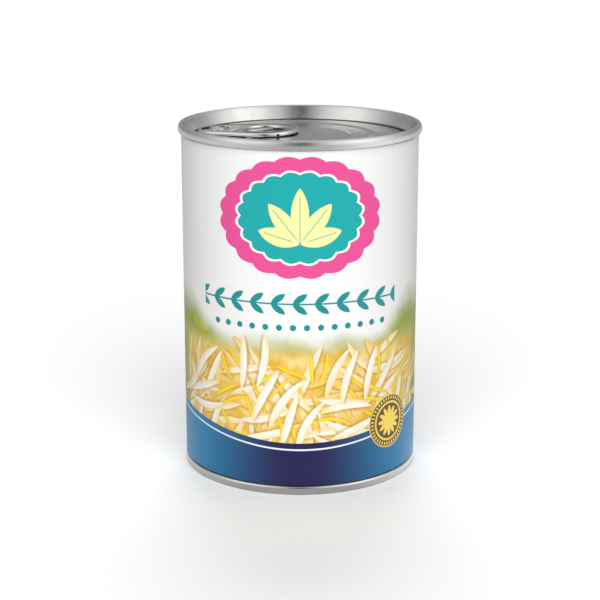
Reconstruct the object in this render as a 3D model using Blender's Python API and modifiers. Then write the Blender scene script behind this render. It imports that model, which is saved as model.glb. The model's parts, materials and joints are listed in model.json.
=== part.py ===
# Ring-pull food can: a three-piece tinplate can with a riveted pull tab and a wrapped paper label.
# Metres, +Z up. The origin is the middle of the foot, and the front of the label faces -Y.
# The tab's nose points to the left as seen from the front, and slightly back.

import math

import bmesh
import bpy
from mathutils import Vector

MM = 0.001

# Driving dimensions
CAN_HEIGHT = 109.5 * MM
BODY_INNER_RADIUS = 36.5 * MM
NECK_IN = 0.88 * MM
SHEET = 0.2 * MM
SEGMENTS = 40

# Easy-open lid: depths are measured down from the top of the can to the middle of the sheet
PANEL_DEPTH = 4.5 * MM
PANEL_STEP = 0.2 * MM
PANEL_RADIUS = 32.9 * MM
OUTER_STEP_RADIUS = 23.5 * MM
OUTER_STEP_WIDTH = 1.9 * MM
INNER_STEP_RADIUS = 15.9 * MM
INNER_STEP_WIDTH = 0.8 * MM
GROOVE_DEPTH = 5.25 * MM
SCORE_RADIUS = 32.1 * MM
SCORE_WIDTH = 0.2 * MM
SCORE_DEPTH = 0.09 * MM

# Bottom end: depths are measured up from the foot
BOTTOM_PANEL_DEPTH = 3.6 * MM
BOTTOM_BEAD_DEPTH = 3.2 * MM
BOTTOM_GROOVE_DEPTH = 4.8 * MM

# Stiffening beads rolled round the middle of the body
BEAD_COUNT = 6
BEAD_PITCH = 7.5 * MM
BEAD_DEPTH = 0.5 * MM

# Paper label: one wrap with a glued lap at the back
LABEL_INNER_RADIUS = 36.8 * MM
LABEL_THICKNESS = 0.15 * MM
LABEL_BOTTOM = 3.3 * MM
LABEL_TOP_DEPTH = 3.2 * MM
LAP_WIDTH = 8.0 * MM

# Food and liquid inside
CONTENTS_RADIUS = 35.6 * MM
CONTENTS_BOTTOM = 5.9 * MM
HEADSPACE_DEPTH = 10.5 * MM
CONTENTS_ROUND = 1.5 * MM

# Pull tab: its length runs from the nose, over the score line, to the ring near the lid's middle
TAB_AZIMUTH = math.radians(168.5)
TAB_TILT = math.radians(1.4)
TAB_LENGTH = 32.0 * MM
TAB_NOSE_WIDTH = 15.5 * MM
TAB_RING_WIDTH = 21.7 * MM
TAB_TIP_RADIUS = 32.5 * MM
CURL_RADIUS = 0.65 * MM
HINGE_DEPTH = 3.65 * MM
WEB_THICKNESS = 0.32 * MM
WEB_HEIGHT = 0.35 * MM
FINGER_HOLE_RADIUS = 6.45 * MM
FINGER_HOLE_AT = 20.95 * MM
HOLE_CURL_RADIUS = 0.56 * MM
HOLE_CURL_HEIGHT = 0.12 * MM
CURL_SLIT_ANGLE = math.radians(-54.7)
CURL_SLIT_SIZE = (2.4 * MM, 1.0 * MM, 1.2 * MM)

# Rivet and the tongue of the tab that it holds
RIVET_AT = 5.55 * MM
RIVET_BOSS_RADIUS = 3.3 * MM
RIVET_SHAFT_RADIUS = 1.5 * MM
RIVET_HEAD_RADIUS = 2.5 * MM
RIVET_HEAD_THICKNESS = 0.7 * MM
TONGUE_BOTTOM_DEPTH = 3.9 * MM
TONGUE_THICKNESS = 0.35 * MM
TONGUE_HALF_WIDTH = 3.9 * MM
TONGUE_END = 8.0 * MM
TONGUE_CORNER = 2.0 * MM
TONGUE_HOLE_RADIUS = 1.8 * MM
SLOT_WIDTH = 0.5 * MM
ROOT_GAP = 0.35 * MM
LAYER_GAP = 0.1 * MM

COLLECTION_NAME = "ring_pull_food_can"
WELD_DISTANCE = 1e-6
SHARP_ANGLE = math.radians(35)


def clear_scene():
    for obj in list(bpy.data.objects):
        bpy.data.objects.remove(obj, do_unlink=True)


def part_collection():
    collection = bpy.data.collections.new(COLLECTION_NAME)
    bpy.context.scene.collection.children.link(collection)
    return collection


def make_material(name, colour, roughness, metallic):
    material = bpy.data.materials.new(name)
    material.use_nodes = True
    shader = material.node_tree.nodes["Principled BSDF"]
    shader.inputs["Base Color"].default_value = (*colour, 1.0)
    shader.inputs["Roughness"].default_value = roughness
    shader.inputs["Metallic"].default_value = metallic
    material.diffuse_color = (*colour, 1.0)
    return material


def add_object(name, data, collection):
    obj = bpy.data.objects.new(name, data)
    collection.objects.link(obj)
    return obj


def keep_as_mesh(obj):
    """Put the evaluated shape of obj, a mesh or a curve, in a mesh object of the same name and place."""
    bpy.context.view_layer.update()
    depsgraph = bpy.context.evaluated_depsgraph_get()
    mesh = bpy.data.meshes.new_from_object(obj.evaluated_get(depsgraph))
    welded = bmesh.new()
    welded.from_mesh(mesh)
    bmesh.ops.remove_doubles(welded, verts=welded.verts, dist=WELD_DISTANCE)
    welded.to_mesh(mesh)
    welded.free()
    name = obj.name
    collection = obj.users_collection[0]
    matrix = obj.matrix_world.copy()
    bpy.data.objects.remove(obj)
    mesh.name = name
    solid = add_object(name, mesh, collection)
    solid.matrix_world = matrix
    return solid


def combine(base, tool, operation):
    """Join tool to base, or cut it away, and keep the result as a mesh."""
    boolean = base.modifiers.new(operation.title(), "BOOLEAN")
    boolean.operation = operation
    boolean.solver = "EXACT"
    boolean.object = tool
    result = keep_as_mesh(base)
    bpy.data.objects.remove(tool)
    return result


def finish(obj, material):
    obj.data.materials.clear()
    obj.data.materials.append(material)
    obj.data.shade_smooth()
    obj.data.set_sharp_from_angle(angle=SHARP_ANGLE)
    return obj


# Turned pieces

def turned(name, profile, collection, closed=False, segments=SEGMENTS):
    """Turn a clockwise profile of (radius, height) points about the Z axis."""
    edges = [(i, i + 1) for i in range(len(profile) - 1)]
    if closed:
        edges.append((len(profile) - 1, 0))
    mesh = bpy.data.meshes.new(name)
    mesh.from_pydata([(radius, 0.0, height) for radius, height in profile], edges, [])
    obj = add_object(name, mesh, collection)
    screw = obj.modifiers.new("Turn", "SCREW")
    screw.angle = math.tau
    screw.steps = segments
    screw.render_steps = segments
    screw.use_merge_vertices = True
    screw.merge_threshold = WELD_DISTANCE
    return keep_as_mesh(obj)


def sheet_sides(path):
    """Offset the middle line of the sheet by half its thickness to its left and to its right."""
    points = [Vector(point) for point in path]
    normals = []
    for start, end in zip(points, points[1:]):
        along = (end - start).normalized()
        normals.append(Vector((-along.y, along.x)))
    normals = [normals[0]] + normals + [normals[-1]]
    left = []
    right = []
    for point, before, after in zip(points, normals, normals[1:]):
        mitre = (before + after) / (1.0 + before.dot(after)) * SHEET / 2
        left.append((point + mitre)[:])
        right.append((point - mitre)[:])
    return left, right


def seam_path(inner_radius):
    """Middle line of an end where it is rolled round the body: chuck wall, seam and cover hook."""
    offsets = [(-0.22, 0.8), (-0.16, 0.3), (0.1, 0.1), (0.9, 0.1), (1.17, 0.35), (1.33, 0.9),
               (1.33, 1.9), (1.17, 2.45), (0.9, 2.74), (0.56, 2.7), (0.42, 2.4), (0.42, 0.85)]
    return [(inner_radius + out * MM, depth * MM) for out, depth in offsets]


def body_hook_path(inner_radius):
    """Middle line of the body's edge where it turns outwards and down inside the seam."""
    offsets = [(0.74, 2.2), (0.74, 0.62), (0.6, 0.44), (0.24, 0.44), (0.1, 0.62)]
    return [(inner_radius + out * MM, depth * MM) for out, depth in offsets]


def from_top(path):
    return [(radius, CAN_HEIGHT - depth) for radius, depth in path]


def make_body(collection, material):
    wall = BODY_INNER_RADIUS + SHEET / 2
    bottom_inner = BODY_INNER_RADIUS - NECK_IN
    path = from_top(body_hook_path(BODY_INNER_RADIUS))
    first_bead = CAN_HEIGHT / 2 + BEAD_COUNT * BEAD_PITCH / 2
    for half_step in range(2 * BEAD_COUNT + 1):
        inset = BEAD_DEPTH if half_step % 2 else 0.0
        path.append((wall - inset, first_bead - half_step * BEAD_PITCH / 2))
    path.append((wall, 7.0 * MM))
    path.append((wall - 0.2 * NECK_IN, 5.6 * MM))
    path.append((wall - NECK_IN, 4.2 * MM))
    path += reversed(body_hook_path(bottom_inner))
    left, right = sheet_sides(path)
    body = turned("can_body", left + right[::-1], collection, closed=True)
    return finish(body, material)


def make_rivet(collection):
    """Rivet raised from the lid's panel: boss, shaft and domed head, turned about its own axis."""
    boss_top = CAN_HEIGHT - TONGUE_BOTTOM_DEPTH - LAYER_GAP
    head_bottom = CAN_HEIGHT - TONGUE_BOTTOM_DEPTH + TONGUE_THICKNESS + LAYER_GAP
    head_top = head_bottom + RIVET_HEAD_THICKNESS
    profile = [
        (0.0, head_top),
        (0.7 * RIVET_HEAD_RADIUS, head_top),
        (RIVET_HEAD_RADIUS, head_bottom + 0.5 * RIVET_HEAD_THICKNESS),
        (0.96 * RIVET_HEAD_RADIUS, head_bottom),
        (RIVET_SHAFT_RADIUS, head_bottom),
        (RIVET_SHAFT_RADIUS, boss_top),
        (0.85 * RIVET_BOSS_RADIUS, boss_top),
        (RIVET_BOSS_RADIUS, CAN_HEIGHT - PANEL_DEPTH),
        (0.0, CAN_HEIGHT - PANEL_DEPTH),
    ]
    rivet = turned("rivet", profile, collection, segments=20)
    at_radius = TAB_TIP_RADIUS - CURL_RADIUS - RIVET_AT
    rivet.location = (at_radius * math.cos(TAB_AZIMUTH), at_radius * math.sin(TAB_AZIMUTH), 0.0)
    rivet.rotation_euler = (0.0, 0.0, TAB_AZIMUTH)
    return rivet


def make_lid(collection, material):
    middle_ring = PANEL_DEPTH - PANEL_STEP
    centre = PANEL_DEPTH - 2 * PANEL_STEP
    panel = [
        (0.0, centre),
        (INNER_STEP_RADIUS - INNER_STEP_WIDTH, centre),
        (INNER_STEP_RADIUS, middle_ring),
        (OUTER_STEP_RADIUS - OUTER_STEP_WIDTH, middle_ring),
        (OUTER_STEP_RADIUS, PANEL_DEPTH),
    ]
    groove = [
        (PANEL_RADIUS, PANEL_DEPTH),
        (PANEL_RADIUS + 0.45 * MM, GROOVE_DEPTH - 0.35 * MM),
        (PANEL_RADIUS + 1.0 * MM, GROOVE_DEPTH),
        (PANEL_RADIUS + 1.6 * MM, GROOVE_DEPTH),
        (PANEL_RADIUS + 2.1 * MM, GROOVE_DEPTH - 0.4 * MM),
        (PANEL_RADIUS + 2.5 * MM, GROOVE_DEPTH - 1.3 * MM),
    ]
    path = from_top(panel + groove + seam_path(BODY_INNER_RADIUS))
    upper, lower = sheet_sides(path)
    panel_top = CAN_HEIGHT - PANEL_DEPTH + SHEET / 2
    score = [
        (SCORE_RADIUS - SCORE_WIDTH / 2, panel_top),
        (SCORE_RADIUS, panel_top - SCORE_DEPTH),
        (SCORE_RADIUS + SCORE_WIDTH / 2, panel_top),
    ]
    upper[len(panel):len(panel)] = score
    lid = turned("easy_open_lid", upper + lower[::-1], collection)
    lid = combine(lid, make_rivet(collection), "UNION")
    return finish(lid, material)


def make_bottom_end(collection, material):
    inner_radius = BODY_INNER_RADIUS - NECK_IN
    path = [
        (0.0, BOTTOM_PANEL_DEPTH),
        (17.6 * MM, BOTTOM_PANEL_DEPTH),
        (18.4 * MM, BOTTOM_BEAD_DEPTH),
        (26.4 * MM, BOTTOM_BEAD_DEPTH),
        (27.2 * MM, BOTTOM_PANEL_DEPTH),
        (31.6 * MM, BOTTOM_PANEL_DEPTH),
        (32.1 * MM, BOTTOM_GROOVE_DEPTH - 0.3 * MM),
        (32.6 * MM, BOTTOM_GROOVE_DEPTH),
        (33.4 * MM, BOTTOM_GROOVE_DEPTH),
        (34.2 * MM, BOTTOM_GROOVE_DEPTH - 0.8 * MM),
    ] + seam_path(inner_radius)
    left, right = sheet_sides(path)
    end = turned("bottom_end", left + right[::-1], collection)
    return finish(end, material)


def make_contents(collection, material):
    top = CAN_HEIGHT - HEADSPACE_DEPTH
    profile = [
        (0.0, top),
        (CONTENTS_RADIUS, top),
        (CONTENTS_RADIUS, CONTENTS_BOTTOM + CONTENTS_ROUND),
        (CONTENTS_RADIUS - CONTENTS_ROUND, CONTENTS_BOTTOM),
        (0.0, CONTENTS_BOTTOM),
    ]
    return finish(turned("contents", profile, collection), material)


# Flat and wire pieces

def arc(centre_x, centre_y, radius, start, end, steps):
    """Points along an arc from start to end, both included."""
    angles = [start + (end - start) * i / steps for i in range(steps + 1)]
    return [(centre_x + radius * math.cos(a), centre_y + radius * math.sin(a)) for a in angles]


def circle(centre_x, radius, steps):
    return arc(centre_x, 0.0, radius, 0.0, math.tau, steps)[:-1]


def curve_object(name, outlines, collection, dimensions):
    curve = bpy.data.curves.new(name, "CURVE")
    curve.dimensions = dimensions
    for outline in outlines:
        spline = curve.splines.new("POLY")
        spline.points.add(len(outline) - 1)
        for point, (x, y) in zip(spline.points, outline):
            point.co = (x, y, 0.0, 1.0)
        spline.use_cyclic_u = True
    return add_object(name, curve, collection)


def flat_plate(name, outlines, thickness, collection):
    """Plate of the first outline, with the others as holes, centred on its own XY plane."""
    obj = curve_object(name, outlines, collection, "2D")
    obj.data.fill_mode = "BOTH"
    obj.data.extrude = thickness / 2
    return obj


def wire_loop(name, outline, radius, collection):
    obj = curve_object(name, [outline], collection, "3D")
    obj.data.twist_mode = "Z_UP"
    obj.data.bevel_depth = radius
    obj.data.bevel_resolution = 2
    return keep_as_mesh(obj)


def make_label(collection, material):
    """Ring of paper whose outer side steps out by one thickness where the ends lap at the back."""
    outer = LABEL_INNER_RADIUS + LABEL_THICKNESS
    half_lap = LAP_WIDTH / 2 / outer
    back = math.pi / 2
    step = math.tau / SEGMENTS
    inner_side = circle(0.0, LABEL_INNER_RADIUS, SEGMENTS)
    outer_side = arc(0.0, 0.0, outer + LABEL_THICKNESS, back - half_lap, back + half_lap, 2)
    outer_side += arc(0.0, 0.0, outer, back + half_lap, back + step, 1)
    outer_side += arc(0.0, 0.0, outer, back + 2 * step, back + math.tau - 2 * step, SEGMENTS - 4)
    outer_side += arc(0.0, 0.0, outer, back - step, back - half_lap, 1)
    top = CAN_HEIGHT - LABEL_TOP_DEPTH
    label = flat_plate("paper_label", [outer_side, inner_side], top - LABEL_BOTTOM, collection)
    label.location.z = (top + LABEL_BOTTOM) / 2
    return finish(keep_as_mesh(label), material)


def rounded_end(half_width, end, corner, steps):
    """Outline of a flat end at x = end with rounded corners, from its +Y side to its -Y side."""
    across = half_width - corner
    return (arc(end - corner, across, corner, math.pi / 2, 0.0, steps)
            + arc(end - corner, -across, corner, 0.0, -math.pi / 2, steps))


def tab_outline():
    """Nose arc, ring arc and the x of both centres for the middle line of the tab's rolled edge."""
    nose_radius = TAB_NOSE_WIDTH / 2 - CURL_RADIUS
    ring_radius = TAB_RING_WIDTH / 2 - CURL_RADIUS
    nose_x = nose_radius
    ring_x = TAB_LENGTH - 2 * CURL_RADIUS - ring_radius
    tangent = math.pi / 2 + math.asin((ring_radius - nose_radius) / (ring_x - nose_x))
    return nose_radius, ring_radius, nose_x, ring_x, tangent


def make_ring_tab(collection, material):
    """Lever of the tab in its own frame: x runs from the nose's rolled edge, the hinge, to the ring."""
    nose_radius, ring_radius, nose_x, ring_x, tangent = tab_outline()
    ring_arc = arc(ring_x, 0.0, ring_radius, -tangent, tangent, 18)
    nose_arc = arc(nose_x, 0.0, nose_radius, tangent, math.tau - tangent, 12)
    rolled_edge = wire_loop("rolled_edge", ring_arc + nose_arc, CURL_RADIUS, collection)
    hole_path = circle(FINGER_HOLE_AT, FINGER_HOLE_RADIUS + HOLE_CURL_RADIUS, 24)
    hole_edge = wire_loop("hole_edge", hole_path, HOLE_CURL_RADIUS, collection)
    hole_edge.location.z = HOLE_CURL_HEIGHT

    slot_half = TONGUE_HALF_WIDTH + SLOT_WIDTH
    slot_angle = math.pi - math.asin(slot_half / nose_radius)
    upper_nose = arc(nose_x, 0.0, nose_radius, tangent, slot_angle, 3)
    lower_nose = arc(nose_x, 0.0, nose_radius, -slot_angle, -tangent, 3)
    slot = rounded_end(slot_half, TONGUE_END + SLOT_WIDTH, TONGUE_CORNER + SLOT_WIDTH, 4)
    web_outline = ring_arc[1:-1] + upper_nose + slot + lower_nose
    web = flat_plate("web", [web_outline, hole_path], WEB_THICKNESS, collection)
    web.location.z = WEB_HEIGHT
    web = keep_as_mesh(web)

    tab = combine(web, rolled_edge, "UNION")
    tab = combine(tab, hole_edge, "UNION")
    tab = combine(tab, make_curl_slit(ring_x, ring_radius, collection), "DIFFERENCE")
    tab.name = "ring_tab"
    tab.data.name = "ring_tab"
    return finish(tab, material)


def make_curl_slit(ring_x, ring_radius, collection):
    """Cutter for the short slit in the rolled edge, near the ring's end on the front side."""
    bm = bmesh.new()
    bmesh.ops.create_cube(bm, size=1.0)
    bmesh.ops.scale(bm, vec=CURL_SLIT_SIZE, verts=bm.verts)
    mesh = bpy.data.meshes.new("curl_slit")
    bm.to_mesh(mesh)
    bm.free()
    slit = add_object("curl_slit", mesh, collection)
    reach = ring_radius + CURL_SLIT_SIZE[0] / 2
    slit.location.x = ring_x + reach * math.cos(CURL_SLIT_ANGLE)
    slit.location.y = reach * math.sin(CURL_SLIT_ANGLE)
    slit.location.z = -CURL_SLIT_SIZE[2] / 3
    slit.rotation_euler.z = CURL_SLIT_ANGLE
    return slit


def make_tongue(collection, material):
    """Riveted tongue of the tab, in the same frame as the lever but level with the lid."""
    nose_radius, _, nose_x, _, _ = tab_outline()
    root_radius = nose_radius - CURL_RADIUS - ROOT_GAP
    spread = math.asin(TONGUE_HALF_WIDTH / root_radius)
    outline = rounded_end(TONGUE_HALF_WIDTH, TONGUE_END, TONGUE_CORNER, 4)
    outline += arc(nose_x, 0.0, root_radius, math.pi + spread, math.pi - spread, 8)
    hole = circle(RIVET_AT, TONGUE_HOLE_RADIUS, 20)
    tongue = flat_plate("tab_tongue", [outline, hole], TONGUE_THICKNESS, collection)
    tongue.location.z = HINGE_DEPTH - TONGUE_BOTTOM_DEPTH + TONGUE_THICKNESS / 2
    return finish(keep_as_mesh(tongue), material)


def make_tab(collection, material):
    """Hinge empty on the nose's rolled edge, with the lever and the tongue placed from it."""
    hinge_radius = TAB_TIP_RADIUS - CURL_RADIUS
    hinge = add_object("tab_hinge", None, collection)
    hinge.location.x = hinge_radius * math.cos(TAB_AZIMUTH)
    hinge.location.y = hinge_radius * math.sin(TAB_AZIMUTH)
    hinge.location.z = CAN_HEIGHT - HINGE_DEPTH
    hinge.rotation_euler.z = TAB_AZIMUTH - math.pi
    hinge.empty_display_size = 5 * MM
    tongue = make_tongue(collection, material)
    tongue.parent = hinge
    lever = make_ring_tab(collection, material)
    lever.rotation_euler.y = -TAB_TILT
    lever.parent = hinge


def main():
    clear_scene()
    collection = part_collection()
    tinplate = make_material("tinplate", (0.70, 0.70, 0.68), 0.28, 1.0)
    bright_tin = make_material("bright_tinplate", (0.78, 0.78, 0.76), 0.2, 1.0)
    paper = make_material("label_paper", (0.93, 0.93, 0.91), 0.45, 0.0)
    food = make_material("sprouts_in_water", (0.86, 0.80, 0.58), 0.4, 0.0)
    make_body(collection, tinplate)
    make_lid(collection, tinplate)
    make_bottom_end(collection, tinplate)
    make_label(collection, paper)
    make_contents(collection, food)
    make_tab(collection, bright_tin)
    bpy.context.view_layer.update()


main()
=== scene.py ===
import json
import math

import bmesh
import bpy
from mathutils import Matrix, Vector


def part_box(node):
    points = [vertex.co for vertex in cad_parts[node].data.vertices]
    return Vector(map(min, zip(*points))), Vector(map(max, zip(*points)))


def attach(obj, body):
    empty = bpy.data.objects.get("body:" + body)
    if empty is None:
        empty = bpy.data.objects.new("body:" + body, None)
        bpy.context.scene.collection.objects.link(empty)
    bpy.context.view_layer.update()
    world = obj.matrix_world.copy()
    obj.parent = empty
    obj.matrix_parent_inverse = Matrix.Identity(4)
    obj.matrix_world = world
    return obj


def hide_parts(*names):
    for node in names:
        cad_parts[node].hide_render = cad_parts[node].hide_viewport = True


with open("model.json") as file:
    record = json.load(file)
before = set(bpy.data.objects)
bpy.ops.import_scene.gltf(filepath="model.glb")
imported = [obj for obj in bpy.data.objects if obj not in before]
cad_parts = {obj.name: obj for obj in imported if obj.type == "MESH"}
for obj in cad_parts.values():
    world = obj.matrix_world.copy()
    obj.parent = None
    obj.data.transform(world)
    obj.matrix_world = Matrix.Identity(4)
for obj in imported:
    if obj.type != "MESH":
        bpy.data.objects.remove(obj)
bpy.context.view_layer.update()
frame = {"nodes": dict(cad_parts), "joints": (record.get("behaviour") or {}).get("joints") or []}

mm = 0.001
print("frame loaded:", ", ".join(sorted(frame["nodes"])))

# sizes that all the pieces share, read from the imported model
lidLow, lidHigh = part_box("easy_open_lid")
bottomLow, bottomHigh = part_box("bottom_end")
labelLow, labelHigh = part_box("paper_label")
tabJoint = frame["joints"][0]

can = {
    "top": lidHigh.z,
    "foot": bottomLow.z,
    "sheet": 0.2 * mm,
    "seamOut": 1.43 * mm,        # from the inside of the body out to the seam's widest place
    "segments": 288,
}
# the tab's own axes: x from the nose to the ring, z up, with the hinge at the middle of the nose's curl
hingePlace = Vector(tabJoint["pos_m"])
hingeAxis = Vector(tabJoint["axis"])
tabMatrix = Matrix.Translation(hingePlace) @ Matrix.Rotation(math.atan2(hingeAxis.x, -hingeAxis.y), 4, "Z")

can["bodyInner"] = lidHigh.x - can["seamOut"]
can["neckInner"] = bottomHigh.x - can["seamOut"]


# outlines

def filletPath(points, radius, steps=5):
    # every corner of an open outline becomes a short curve
    points = [Vector(point) for point in points]
    rounded = [points[0]]
    for before, corner, after in zip(points, points[1:], points[2:]):
        lengthIn = (corner - before).length
        lengthOut = (after - corner).length
        reach = min(radius, 0.48 * lengthIn, 0.48 * lengthOut)
        start = corner + (before - corner) * (reach / lengthIn)
        end = corner + (after - corner) * (reach / lengthOut)
        for step in range(steps + 1):
            t = step / steps
            rounded.append(start * (1 - t) ** 2 + corner * (2 * t * (1 - t)) + end * t ** 2)
    rounded.append(points[-1])
    return rounded


def sheetSides(path, thickness):
    # left and right faces of a thin sheet that follows the path
    normals = []
    for start, end in zip(path, path[1:]):
        along = (end - start).normalized()
        normals.append(Vector((-along.y, along.x)))
    normals = [normals[0]] + normals + [normals[-1]]
    left, right = [], []
    for point, before, after in zip(path, normals, normals[1:]):
        mitre = (before + after) / (1 + before.dot(after)) * thickness / 2
        left.append(point + mitre)
        right.append(point - mitre)
    return left, right


def arcPoints(centreX, centreY, radius, start, end, steps):
    angles = [start + (end - start) * i / steps for i in range(steps + 1)]
    return [Vector((centreX + radius * math.cos(a), centreY + radius * math.sin(a))) for a in angles]


# meshes

def newPiece(name, bm, smooth=True):
    mesh = bpy.data.meshes.new(name)
    bmesh.ops.recalc_face_normals(bm, faces=bm.faces)
    bm.to_mesh(mesh)
    bm.free()
    piece = bpy.data.objects.new(name, mesh)
    bpy.context.scene.collection.objects.link(piece)
    if smooth:
        mesh.shade_smooth()
    return piece


def turnedPiece(name, profile, segments, closed=False):
    # a profile of (radius, height) points, turned about the Z axis
    bm = bmesh.new()
    rings = []
    for radius, height in profile:
        if radius < 1e-7:
            rings.append([bm.verts.new((0, 0, height))])
            continue
        ring = []
        for i in range(segments):
            angle = math.tau * i / segments
            ring.append(bm.verts.new((radius * math.cos(angle), radius * math.sin(angle), height)))
        rings.append(ring)
    pairs = list(zip(rings, rings[1:]))
    if closed:
        pairs.append((rings[-1], rings[0]))
    for upper, lower in pairs:
        for i in range(segments):
            j = (i + 1) % segments
            corners = [upper[i % len(upper)], upper[j % len(upper)],
                       lower[j % len(lower)], lower[i % len(lower)]]
            corners = list(dict.fromkeys(corners))
            if len(corners) > 2:
                bm.faces.new(corners)
    return newPiece(name, bm)


def sweptLoop(name, path, section):
    # a closed section of (outward, upward) points, swept round a closed flat path
    bm = bmesh.new()
    count = len(path)
    rings = []
    for i, point in enumerate(path):
        along = (path[(i + 1) % count] - path[i - 1]).normalized()
        outward = Vector((along.y, -along.x))
        ring = []
        for out, up in section:
            place = point + outward * out
            ring.append(bm.verts.new((place.x, place.y, up)))
        rings.append(ring)
    # the second half of the section is the inside of the roll, which gets the second finish, a painted
    # shade
    for i in range(count):
        here, there = rings[i], rings[(i + 1) % count]
        for k in range(len(section)):
            m = (k + 1) % len(section)
            face = bm.faces.new((here[k], here[m], there[m], there[k]))
            face.material_index = 1 if k >= len(section) // 2 else 0
    return newPiece(name, bm)


def flatPlate(name, outlines, thickness, height):
    # the first outline is the rim and the others are holes
    curve = bpy.data.curves.new(name, "CURVE")
    curve.dimensions = "2D"
    curve.fill_mode = "BOTH"
    curve.extrude = thickness / 2
    for outline in outlines:
        spline = curve.splines.new("POLY")
        spline.points.add(len(outline) - 1)
        for point, place in zip(spline.points, outline):
            point.co = (place[0], place[1], 0, 1)
        spline.use_cyclic_u = True
    flat = bpy.data.objects.new(name + "_curve", curve)
    bpy.context.scene.collection.objects.link(flat)
    bpy.context.view_layer.update()
    mesh = bpy.data.meshes.new_from_object(flat.evaluated_get(bpy.context.evaluated_depsgraph_get()))
    bpy.data.objects.remove(flat)
    bm = bmesh.new()
    bm.from_mesh(mesh)
    bmesh.ops.remove_doubles(bm, verts=bm.verts, dist=1e-6)
    bmesh.ops.translate(bm, verts=bm.verts, vec=(0, 0, height))
    return newPiece(name, bm)


def boolean(base, tool, operation):
    modifier = base.modifiers.new(operation, "BOOLEAN")
    modifier.operation = operation
    modifier.solver = "EXACT"
    modifier.object = tool
    bpy.context.view_layer.update()
    mesh = bpy.data.meshes.new_from_object(base.evaluated_get(bpy.context.evaluated_depsgraph_get()))
    base.modifiers.clear()
    base.data = mesh
    bpy.data.objects.remove(tool)


def addFinishes(piece, *materials):
    for material in materials:
        piece.data.materials.append(material)


def place(piece, body, slot, *nodes):
    if nodes:
        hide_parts(*nodes)
    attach(piece, body)


# shader helpers

def feed(tree, socket, value):
    # the value is a socket to link, the name of an ink, or a fixed value
    if isinstance(value, str):
        value = ink(value)
    if isinstance(value, bpy.types.NodeSocket):
        tree.links.new(value, socket)
    else:
        socket.default_value = value


def calc(tree, operation, *values, clamp=False):
    node = tree.nodes.new("ShaderNodeMath")
    node.operation = operation
    node.use_clamp = clamp
    for socket, value in zip(node.inputs, values):
        feed(tree, socket, value)
    return node.outputs[0]


def chained(operation):
    # the operation on two or more values, from the left
    def chain(tree, first, *others):
        for other in others:
            first = calc(tree, operation, first, other)
        return first
    return chain


times = chained("MULTIPLY")
plus = chained("ADD")
minus = chained("SUBTRACT")
over = chained("DIVIDE")
most = chained("MAXIMUM")


def size(tree, value):
    # the value without its sign
    return calc(tree, "ABSOLUTE", value)


def lengthOf(tree, x, y):
    return calc(tree, "SQRT", plus(tree, times(tree, x, x), times(tree, y, y)))


def inMillimetres(tree, vector):
    node = tree.nodes.new("ShaderNodeVectorMath")
    node.operation = "SCALE"
    node.inputs[3].default_value = 1 / mm
    feed(tree, node.inputs[0], vector)
    return node.outputs[0]


def ramp(tree, value, low, high, start=0.0, end=1.0):
    # smooth step of value from low to high
    node = tree.nodes.new("ShaderNodeMapRange")
    node.interpolation_type = "SMOOTHSTEP"
    for socket, given in zip(node.inputs, (value, low, high, start, end)):
        feed(tree, socket, given)
    return node.outputs[0]


def blend(tree, mask, under, over, mode="MIX"):
    node = tree.nodes.new("ShaderNodeMix")
    node.data_type = "RGBA"
    node.blend_type = mode
    feed(tree, node.inputs[0], mask)
    feed(tree, node.inputs[6], under)
    feed(tree, node.inputs[7], over)
    return node.outputs[2]


def splitVector(tree, vector):
    node = tree.nodes.new("ShaderNodeSeparateXYZ")
    feed(tree, node.inputs[0], vector)
    return node.outputs


def joinVector(tree, x, y, z=0.0):
    node = tree.nodes.new("ShaderNodeCombineXYZ")
    for socket, value in zip(node.inputs, (x, y, z)):
        feed(tree, socket, value)
    return node.outputs[0]


def noise(tree, vector, scale, detail=2.0, roughness=0.5):
    node = tree.nodes.new("ShaderNodeTexNoise")
    feed(tree, node.inputs["Vector"], vector)
    feed(tree, node.inputs["Scale"], scale)
    node.inputs["Detail"].default_value = detail
    node.inputs["Roughness"].default_value = roughness
    return node.outputs["Fac"]


def newGroup(name, inputs, outputs):
    # an input given as None is a vector, four numbers are a colour and one number is a value
    group = bpy.data.node_groups.new(name, "ShaderNodeTree")
    for title, value in inputs.items():
        kind = "Vector" if value is None else "Color" if isinstance(value, tuple) else "Float"
        socket = group.interface.new_socket(name=title, in_out="INPUT", socket_type="NodeSocket" + kind)
        if value is not None:
            socket.default_value = value
    for title in outputs:
        kind = "Color" if title == "Color" else "Float"
        group.interface.new_socket(name=title, in_out="OUTPUT", socket_type="NodeSocket" + kind)
    return group, group.nodes.new("NodeGroupInput").outputs, group.nodes.new("NodeGroupOutput").inputs


def useGroup(tree, group, **values):
    node = tree.nodes.new("ShaderNodeGroup")
    node.node_tree = group
    for title, value in values.items():
        feed(tree, node.inputs[title], value)
    return node.outputs


def newMaterial(name):
    material = bpy.data.materials.new(name)
    material.use_nodes = True
    tree = material.node_tree
    shader = tree.nodes["Principled BSDF"]
    where = tree.nodes.new("ShaderNodeTexCoord").outputs["Object"]
    return material, tree, shader, where


def addBump(tree, shader, height, strength, distance):
    bump = tree.nodes.new("ShaderNodeBump")
    bump.inputs["Strength"].default_value = strength
    bump.inputs["Distance"].default_value = distance
    feed(tree, bump.inputs["Height"], height)
    feed(tree, shader.inputs["Normal"], bump.outputs[0])


# effects that several finishes use

def makeRoundCoords():
    # arc length round the can (0 at the front, in mm), height and radius in mm
    tree, given, out = newGroup("round the can", {"Vector": None}, ["Arc", "Height", "Radius"])
    x, y, z = splitVector(tree, given["Vector"])
    angle = calc(tree, "ARCTAN2", x, times(tree, y, -1.0))
    radius = lengthOf(tree, x, y)
    feed(tree, out["Arc"], times(tree, angle, labelHigh.x / mm))
    feed(tree, out["Height"], over(tree, z, mm))
    feed(tree, out["Radius"], over(tree, radius, mm))
    return tree


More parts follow.
